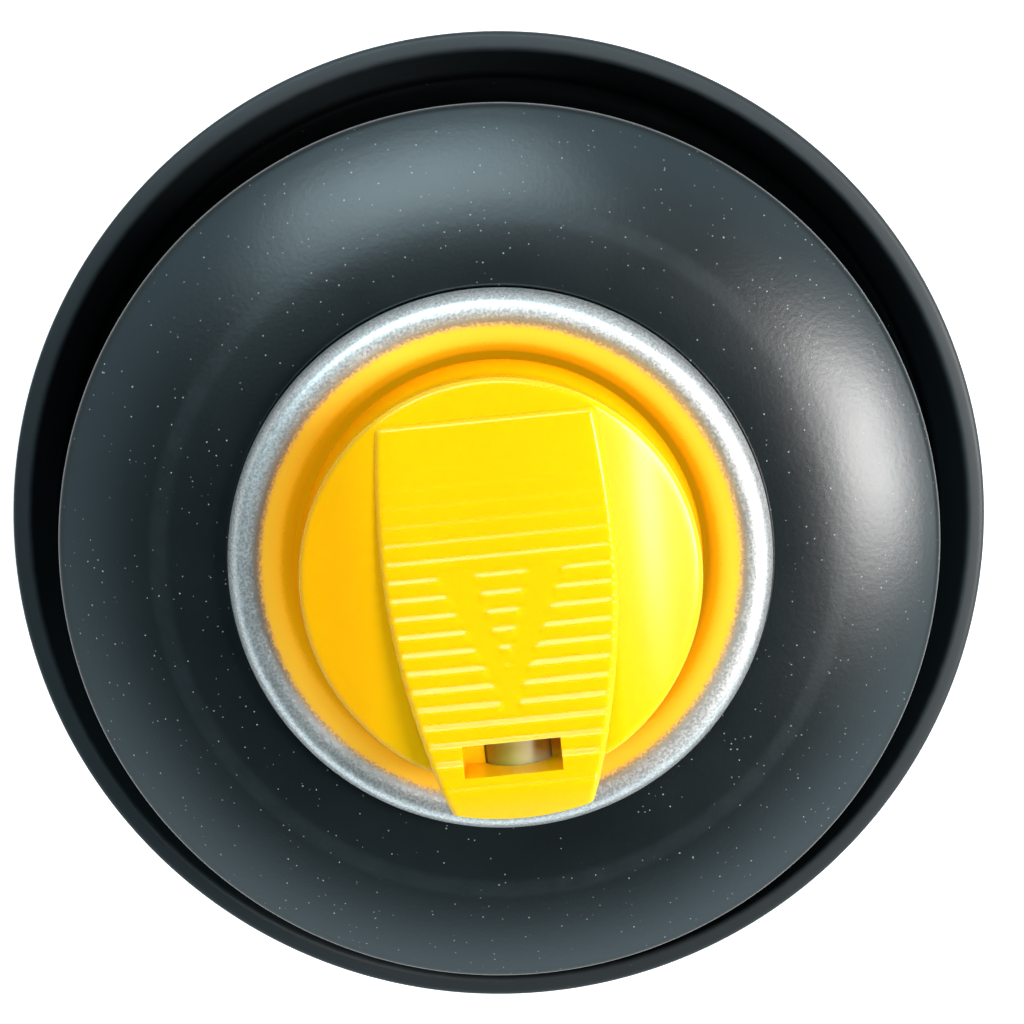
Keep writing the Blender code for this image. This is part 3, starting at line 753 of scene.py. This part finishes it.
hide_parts("actuator")

# %% [markdown]
# ## The spray insert
#
# The insert is a small cup pressed into the nose and seen through the window. Its face has a fine
# hole, crossed by the slot that spreads the spray into a fan. It turns in the nose, so it is a body
# of its own, made along Z like every turned piece and then laid along the nozzle's axis.

# %% Spray insert
insert_section = [
    (0.25, 12.1),
    (2.0, 12.1),
    (2.0, 6.8),
    (1.2, 6.8),
    (1.2, 11.3),
    (0.25, 11.3),
]
barrel = turned("barrel", dense(rounded_loop(insert_section, 0.16, 6), 0.5), 96, place=to_spray_axis)
slot_cut = box_solid("fan_slot", (-3.0, -13.0, SPRAY_Z - 0.2), (3.0, -11.8, SPRAY_Z + 0.2))
insert = combined("spray_insert", barrel, [], [slot_cut])
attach(insert, "nozzle")
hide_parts("nozzle_insert")

# %% [markdown]
# ## Writing finishes as sums
#
# A finish is a material whose colour, gloss and fine relief vary over the surface. In the node
# editor that takes dozens of Math nodes. Here a small class wraps an output socket, so that
# `1 - dust * 0.5` adds those nodes by itself, and one method makes every other kind of node.

# %% Sockets that add and multiply


class Wire:
    """An output socket. Sums and products with numbers or other wires become Math nodes."""

    def __init__(self, nodes, socket):
        self.nodes = nodes
        self.socket = socket

    def math(self, operation, first, second):
        return self.nodes.node("ShaderNodeMath", {"operation": operation}, {0: first, 1: second})

    def __add__(self, other):
        return self.math("ADD", self, other)

    __radd__ = __add__

    def __sub__(self, other):
        return self.math("SUBTRACT", self, other)

    def __rsub__(self, other):
        return self.math("SUBTRACT", other, self)

    def __mul__(self, other):
        return self.math("MULTIPLY", self, other)

    __rmul__ = __mul__

    def above(self, limit):
        return self.math("GREATER_THAN", self, limit)


class Nodes:
    """A node tree, and the ways to add to it."""

    def __init__(self, tree):
        self.tree = tree

    def node(self, kind, settings=None, inputs=None, out=0):
        """Any node: its type, its settings first, then a value or a wire for each socket."""
        made = self.tree.nodes.new(kind)
        for key, value in (settings or {}).items():
            setattr(made, key, value)
        for key, value in (inputs or {}).items():
            self.feed(made.inputs[key], value)
        return Wire(self, made.outputs[out])

    def feed(self, socket, value):
        if isinstance(value, Wire):
            self.tree.links.new(value.socket, socket)
        else:
            socket.default_value = value

    def between(self, value, low, high):
        """0 where the value is at low, 1 where it is at high, and smooth in the middle."""
        inputs = {"Value": value, "From Min": low, "From Max": high}
        return self.node("ShaderNodeMapRange", {"interpolation_type": "SMOOTHSTEP"}, inputs)


class Finish(Nodes):
    """A procedural material with one Principled shader. Constants go straight onto the shader's own
    sockets."""

    def __init__(self, name, **constants):
        self.material = bpy.data.materials.new(name)
        self.material.use_nodes = True
        super().__init__(self.material.node_tree)
        self.shader = self.tree.nodes["Principled BSDF"]
        self.place = self.node("ShaderNodeTexCoord", out="Object")
        for socket, value in constants.items():
            self.shader.inputs[socket.replace("_", " ")].default_value = value

    def noise(self, size, detail=3.0, stretch=None):
        """Cloudy variation from 0 to 1 whose patches are about a size across, in millimetres."""
        place = self.place
        if stretch:
            scaled = {"Vector": place, "Scale": stretch}
            place = self.node("ShaderNodeMapping", {"vector_type": "POINT"}, scaled)
        inputs = {"Vector": place, "Scale": 1.0 / (size * MM), "Detail": detail, "Roughness": 0.55}
        return self.node("ShaderNodeTexNoise", None, inputs)

    def specks(self, pitch, radius, share):
        """Round specks: one point for each cell of a pitch, kept in a share of the cells, 1 inside
        its radius."""
        inputs = {"Vector": self.place, "Scale": 1.0 / (pitch * MM)}
        distance = self.node("ShaderNodeTexVoronoi", None, inputs, "Distance")
        colour = self.node("ShaderNodeTexVoronoi", None, inputs, "Color")
        chance = self.node("ShaderNodeSeparateColor", None, {0: colour}, 0)
        size = self.node("ShaderNodeSeparateColor", None, {0: colour}, 1)
        near = self.between(distance, radius / pitch, 0.5 * radius / pitch)
        return near * chance.above(1 - share) * (0.3 + 0.7 * size)

    def band(self, radius, rise, fall):
        """Rises from 0 to 1 between the first two radii in millimetres, and falls again between the
        other two."""
        into = self.between(radius, rise[0] * MM, rise[1] * MM)
        return into * (1 - self.between(radius, fall[0] * MM, fall[1] * MM))

    def blend(self, mask, first, second):
        """The first colour where the mask is 0 and the second where it is 1, through a Mix node."""
        colours = {0: mask, 6: first, 7: second}
        return self.node("ShaderNodeMix", {"data_type": "RGBA"}, colours, 2)

    def distance_from_axis(self):
        """Distance from the can's axis in metres: the length of the place with its height left
        out."""
        flat = {0: self.place, 1: (1.0, 1.0, 0.0)}
        level = self.node("ShaderNodeVectorMath", {"operation": "MULTIPLY"}, flat)
        return self.node("ShaderNodeVectorMath", {"operation": "LENGTH"}, {0: level}, "Value")

    def part_of_place(self, axis):
        """One coordinate of the place, in metres."""
        return self.node("ShaderNodeSeparateXYZ", None, {0: self.place}, axis)

    def relief(self, height, depth):
        """Fine relief: a Bump node whose height of 1 stands a depth proud, in millimetres."""
        inputs = {"Height": height, "Distance": depth * MM, "Strength": 1.0}
        bump = self.node("ShaderNodeBump", None, inputs)
        self.feed(self.shader.inputs["Normal"], bump)

    def colour(self, value):
        self.feed(self.shader.inputs["Base Color"], value)

    def gloss(self, value):
        self.feed(self.shader.inputs["Roughness"], value)


def rgb(red, green, blue):
    return (red, green, blue, 1.0)


# %% [markdown]
# ## The can's finishes
#
# The seam and the groove have a satin black lacquer over tinplate. The ring is matte anthracite
# plastic with a fine orange peel and specks of dust. A faint lighter ring on it is partly where an
# overcap has rubbed it and partly a painted highlight, and a painted sheen makes it paler towards
# its edge. Both are dark, so almost all that is seen of them is reflected light, and their roughness
# matters more than their colour. The groove's shade is painted: between the seam and the ring's
# edge both finishes turn into a black metal, whose reflection is as dark as its colour.

# %% Lacquer and ring plastic


def make_black_lacquer():
    """Satin lacquer: smoke grey on the seam and the wall, with painted shade inside the groove, where
    it turns nearly black and metallic.
    """
    finish = Finish("satin_black_lacquer")
    cloud = finish.noise(3.0)
    dust = finish.specks(0.9, 0.035, 0.25)
    # Painted shade: where seam is 0, inside the groove, the base stays nearly black and the lacquer
    # turns 0.85 metallic, so the groove reads as black.
    seam = finish.between(finish.distance_from_axis(), 31.2 * MM, 31.8 * MM)
    base = finish.blend(cloud, rgb(0.004, 0.005, 0.006), rgb(0.007, 0.008, 0.009))
    base = finish.blend(0.8 * seam, base, rgb(0.015, 0.021, 0.024))
    finish.colour(finish.blend(dust, base, rgb(0.30, 0.30, 0.30)))
    finish.gloss(0.27 + 0.10 * cloud + 0.2 * seam + 0.2 * dust)
    finish.feed(finish.shader.inputs["Metallic"], 0.85 * (1 - seam))
    finish.relief(finish.noise(0.25, 2.0) + 0.5 * dust, 0.004)
    return finish.material


def make_anthracite():
    """Ring plastic: dusty, with a lighter ring that is partly rubbed and partly a painted highlight, a
    painted sheen that pales it towards its edge, and painted shade that makes its outer wall black."""
    finish = Finish("anthracite_ring_plastic")
    cloud = finish.noise(4.0)
    radius = finish.distance_from_axis()
    dust = 0.55 * finish.specks(0.40, 0.060, 0.40) + 0.7 * finish.specks(1.7, 0.085, 0.30)
    streaky = finish.noise(1.5, 4.0)
    # A streaky lighter ring round the crown: partly a rub mark from an overcap, partly a painted
    # highlight line.
    rub_and_painted_highlight = finish.band(radius, (19.6, 20.2), (20.7, 21.2)) * streaky
    # Painted sheen: the crown's base colour turns paler towards its edge, in place of reflected light.
    painted_edge_sheen = finish.band(radius, (20.5, 26.2), (26.4, 27.0))
    # Painted shade: the outer wall down in the groove turns into a nearly black metal.
    painted_wall_shade = finish.between(radius, 26.65 * MM, 26.95 * MM)
    base = finish.blend(cloud, rgb(0.0042, 0.0072, 0.0084), rgb(0.0066, 0.0105, 0.0120))
    base = finish.blend(0.25 * rub_and_painted_highlight + 0.45 * painted_edge_sheen, base, rgb(0.036, 0.051, 0.058))
    finish.colour(finish.blend(dust, base, rgb(0.55, 0.58, 0.58)))
    finish.gloss(0.28 + 0.06 * cloud + 0.3 * dust + 0.05 * rub_and_painted_highlight)
    finish.feed(finish.shader.inputs["Metallic"], 0.85 * painted_wall_shade)
    finish.relief(finish.noise(0.30, 2.0) + 0.4 * finish.noise(0.9, 1.0), 0.007)
    return finish.material


# %% [markdown]
# ## Tinplate, plastics, rubber and steel
#
# Tinplate is rolled, so it has fine dark specks and a slight grain. Inside the cup's rim it is painted
# amber, a painted reflection of the yellow button, and darker deeper in as painted shade. A weak glow
# there stands for the light that the yellow button throws on it, and a dark speckled line marks the
# amber's edge. The yellow plastic lets some light through, and its colour carries painted shade on the
# side away from the lamp, painted light on the side towards it, and painted shade darkest on the
# flange at its foot. The inner pieces get the plain finishes of their trade: milky nylon, clear-ish
# tube, dark rubber, cream sealing compound and bright steel.

# %% Metal and yellow plastic


def make_tinplate():
    """Silver with a fine grain outside. Inside the rim it has a painted amber reflection of the yellow
    button, with painted shade deeper in and a dark line at its edge."""
    finish = Finish("satin_tinplate", Emission_Strength=1.0)
    grain = finish.noise(0.16, 4.0)
    cloud = finish.noise(2.5)
    pits = finish.specks(0.42, 0.07, 0.30)
    radius = finish.distance_from_axis() + 0.4 * MM * grain
    # Painted reflection: inside the rim the silver is painted amber and made less metallic, for the
    # yellow button seen in it.
    painted_yellow_reflection = finish.between(radius, 14.40 * MM, 14.00 * MM)
    edge = finish.band(radius, (13.95, 14.25), (14.35, 14.75))
    # Painted shade: deeper in, on the cup's inner wall, the amber turns darker.
    deep = finish.between(radius, 13.25 * MM, 12.90 * MM)
    light = finish.between(grain, 0.35, 0.65)
    silver = finish.blend(light, rgb(0.62, 0.61, 0.60), rgb(0.92, 0.91, 0.90))
    silver = finish.blend(0.75 * pits, silver, rgb(0.16, 0.14, 0.12))
    amber = finish.blend(deep, rgb(0.98, 0.57, 0.045), rgb(0.62, 0.34, 0.002))
    base = finish.blend(painted_yellow_reflection, silver, amber)
    speckled = 0.55 * edge * finish.between(grain, 0.35, 0.60)
    finish.colour(finish.blend(speckled, base, rgb(0.16, 0.09, 0.10)))
    finish.gloss(0.34 + 0.10 * cloud + 0.14 * grain + 0.2 * pits)
    finish.feed(finish.shader.inputs["Metallic"], 1.0 - 0.80 * painted_yellow_reflection)
    # Painted light: this glow stands for light thrown by the yellow button.
    glow = finish.blend(deep, rgb(0.27, 0.14, 0.001), rgb(0.26, 0.17, 0.001))
    finish.feed(finish.shader.inputs["Emission Color"], finish.blend(painted_yellow_reflection, rgb(0.0, 0.0, 0.0), glow))
    finish.relief((grain - 0.7 * pits) * (1 - painted_yellow_reflection), 0.012)
    return finish.material


def make_yellow():
    """The button's plastic, in five near yellows: two where the melt flowed, then painted shade on its
    left, painted light on its right and painted shade on its foot."""
    finish = Finish(
        "yellow_button_plastic",
        Subsurface_Weight=0.45,
        Subsurface_Radius=(1.0, 0.5, 0.03),
        Subsurface_Scale=1.6 * MM,
        Specular_IOR_Level=0.3,
    )
    flow = finish.noise(5.0, 3.0, (1.0, 0.35, 1.0))
    fine = finish.noise(0.35, 2.0)
    dust = finish.specks(1.3, 0.03, 0.15)
    across, height = (finish.part_of_place(axis) for axis in ("X", "Z"))
    # Painted shade: the left of the button, away from the lamp, is painted a more orange yellow.
    shaded = finish.between(across, -4.0 * MM, -9.5 * MM)
    # Painted light: the right of the button, towards the lamp, is painted a lighter yellow.
    sunny = finish.between(across, 0.0, 8.0 * MM)
    # Painted shade: the flange at the button's foot is painted the darkest orange.
    flange = finish.between(height, SEAM + 15.5 * MM, SEAM + 13.5 * MM)
    base = finish.blend(flow, rgb(0.94, 0.500, 0.0012), rgb(0.96, 0.525, 0.0018))
    base = finish.blend(shaded, base, rgb(0.92, 0.400, 0.001))
    base = finish.blend(sunny, base, rgb(0.97, 0.550, 0.002))
    base = finish.blend(flange, base, rgb(0.90, 0.36, 0.001))
    finish.colour(finish.blend(0.5 * dust, base, rgb(0.75, 0.60, 0.25)))
    finish.gloss(0.17 + 0.05 * flow + 0.2 * dust)
    finish.relief(fine, 0.0015)
    return finish.material


def make_insert_plastic():
    """Plastic painted olive as shade and yellow reflection, paler on its right as a painted highlight
    where the lamp reaches it through the window.
    """
    finish = Finish("insert_plastic_painted_shade_and_highlight", Subsurface_Weight=0.0)
    cloud = finish.noise(1.2)
    # Painted shade and painted reflection: the olive stands for shaded plastic lit by the yellow walls
    # round it.
    plain = finish.blend(cloud, rgb(0.26, 0.25, 0.03), rgb(0.32, 0.30, 0.05))
    # Painted highlight: the right of the insert turns pale beige where the lamp reaches it through the
    # window.
    lit = finish.between(finish.part_of_place("X"), -1.0 * MM, 2.0 * MM)
    finish.colour(finish.blend(lit, plain, rgb(0.72, 0.66, 0.44)))
    finish.gloss(0.30 + 0.12 * cloud)
    finish.relief(finish.noise(0.2, 2.0), 0.002)
    return finish.material


# %% Inner pieces


def make_plain(name, dark, light, patch, roughness, metallic=0.0, depth=0.003):
    """A finish for a piece inside the can: two near colours in soft patches, uneven gloss and a
    fine relief."""
    finish = Finish(name, Metallic=metallic)
    cloud = finish.noise(patch)
    finish.colour(finish.blend(cloud, rgb(*dark), rgb(*light)))
    finish.gloss(roughness + 0.12 * cloud)
    finish.relief(finish.noise(patch / 6, 2.0), depth)
    return finish.material


black_lacquer = make_black_lacquer()
anthracite = make_anthracite()
tinplate = make_tinplate()
yellow = make_yellow()
insert_painted_shade_and_highlight = make_insert_plastic()
nylon = make_plain("milky_nylon", (0.70, 0.69, 0.64), (0.78, 0.77, 0.72), 1.5, 0.38)
tube_plastic = make_plain("feed_tube_plastic", (0.66, 0.67, 0.66), (0.74, 0.75, 0.74), 3.0, 0.30)
rubber = make_plain("black_gasket_rubber", (0.018, 0.018, 0.018), (0.028, 0.028, 0.028), 0.8, 0.70)
compound = make_plain("cream_sealing_compound", (0.50, 0.41, 0.27), (0.58, 0.49, 0.34), 0.8, 0.75)
steel = make_plain("bright_steel", (0.52, 0.52, 0.52), (0.62, 0.62, 0.61), 0.9, 0.18, 1.0, 0.002)

finishes = {
    top_end: black_lacquer,
    can_wall: black_lacquer,
    can_bottom: black_lacquer,
    colour_ring: anthracite,
    cup: tinplate,
    button: yellow,
    insert: insert_painted_shade_and_highlight,
    housing: nylon,
    stem: nylon,
    spring: steel,
    dip_tube: tube_plastic,
    bpy.data.objects["ball_1"]: steel,
    bpy.data.objects["ball_2"]: steel,
    frame["nodes"]["top_seam_compound"]: compound,
    frame["nodes"]["bottom_seam_compound"]: compound,
    frame["nodes"]["cup_gasket"]: rubber,
    frame["nodes"]["stem_gasket"]: rubber,
}
for made, material in finishes.items():
    made.data.materials.clear()
    made.data.materials.append(material)
print(len(finishes), "pieces finished in", len(set(finishes.values())), "materials")

# %% [markdown]
# ## Table, light and camera
#
# A pale table, two soft boxes and a dim room. One soft box stands to the right. It lights the
# button's right shelf and the right of the ring. A larger one behind the can is weaker and cooler.
# The dim room matters as much as the lamps: it keeps the left of the ring dark. The table glows a
# little, like a light table, so shadows on it stay soft.

# %% Table
FLOOR_HALF = 3.0


def make_floor():
    """A flat square of 8 x 8 faces at z = 0, which glows a little."""
    spread = np.linspace(-FLOOR_HALF, FLOOR_HALF, 9)
    x, y = np.meshgrid(spread, spread)
    mesh = bpy.data.meshes.new("table")
    points = np.stack([x, y, 0.0 * x], axis=-1).reshape(-1, 3)
    mesh.from_pydata(points.tolist(), [], grid_faces(9, 9).tolist())
    made = bpy.data.objects.new("table", mesh)
    bpy.context.scene.collection.objects.link(made)
    finish = Finish("pale_table", Emission_Color=rgb(1.0, 1.0, 1.0), Emission_Strength=0.6)
    finish.colour(finish.blend(finish.noise(40.0), rgb(0.86, 0.86, 0.86), rgb(0.90, 0.90, 0.90)))
    finish.gloss(0.6 + 0.1 * finish.noise(15.0))
    mesh.materials.append(finish.material)
    return made


make_floor()

# %% Soft boxes and room
BOX_DISTANCE = 0.6
ROOM_TOP = 0.02
ROOM_WALL = 0.45
ROOM_FRONT = 0.9


def soft_box(name, azimuth, tilt, width, height, radiance, colour):
    """A rectangular area light that faces the can's top. Its power is radiance x pi x area. The
    azimuth counts from plus X towards plus Y, and the tilt from straight overhead, both in degrees;
    sizes are metres."""
    data = bpy.data.lights.new(name, "AREA")
    data.shape = "RECTANGLE"
    data.size = width
    data.size_y = height
    data.energy = radiance * np.pi * width * height
    data.color = colour
    lamp = bpy.data.objects.new(name, data)
    bpy.context.scene.collection.objects.link(lamp)
    turn, lean = np.radians(azimuth), np.radians(tilt)
    way = Vector((np.sin(lean) * np.cos(turn), np.sin(lean) * np.sin(turn), np.cos(lean)))
    lamp.location = Vector((0.0, 0.0, SEAM)) + way * BOX_DISTANCE
    lamp.rotation_euler = way.to_track_quat("Z", "Y").to_euler()
    lamp.visible_camera = False
    return lamp


soft_box("right_soft_box", 0.0, 44.5, width=0.22, height=0.22, radiance=29.0, colour=(1.0, 0.985, 0.97))
soft_box("back_soft_box", 100.0, 37.0, width=0.34, height=0.26, radiance=9.0, colour=(0.70, 0.92, 1.0))


def make_room():
    """A room that is nearly black overhead and lighter towards its walls, most of all the wall that
    the nozzle points at. Where the camera looks straight at it, it is simply pale."""
    room = bpy.data.worlds.new("studio_room")
    bpy.context.scene.world = room
    room.use_nodes = True
    nodes = Nodes(room.node_tree)
    way = nodes.node("ShaderNodeTexCoord", out="Generated")
    across, up = (nodes.node("ShaderNodeSeparateXYZ", None, {0: way}, axis) for axis in ("Y", "Z"))
    wall = nodes.between(up, 0.85, 0.25)
    front = nodes.between(across, 0.15, -0.75)
    strength = ROOM_TOP + wall * (ROOM_WALL + ROOM_FRONT * front)
    dim = room.node_tree.nodes["Background"]
    dim.inputs["Color"].default_value = rgb(0.74, 0.93, 1.0)
    nodes.feed(dim.inputs["Strength"], strength)
    pale = nodes.node("ShaderNodeBackground", None, {"Color": rgb(0.93, 0.94, 0.95), "Strength": 1.0})
    seen = nodes.node("ShaderNodeLightPath", out="Is Camera Ray")
    lit = Wire(nodes, dim.outputs[0])
    both = nodes.node("ShaderNodeMixShader", None, {0: seen, 1: lit, 2: pale})
    nodes.feed(room.node_tree.nodes["World Output"].inputs["Surface"], both)


make_room()

# %% Camera
EYE = Vector((1.13, 12.83, 95.68 + HEIGHT)) * MM
AIM = Vector((0.93, 1.34, HEIGHT)) * MM
UP = Vector((0.099, 0.995, 0.0))
FOCAL_LENGTH = 49.5

lens = bpy.data.cameras.new("camera")
lens.lens = FOCAL_LENGTH
lens.sensor_width = 36.0
lens.clip_start = 0.005
camera = bpy.data.objects.new("camera", lens)
bpy.context.scene.collection.objects.link(camera)
ahead = (AIM - EYE).normalized()
right = ahead.cross(UP).normalized()
over = right.cross(ahead)
turn = Matrix((right, over, -ahead)).transposed()
camera.matrix_world = Matrix.Translation(EYE) @ turn.to_4x4()
bpy.context.scene.camera = camera
print(f"the camera is {(EYE - AIM).length / MM:.1f} mm from the point it looks at")
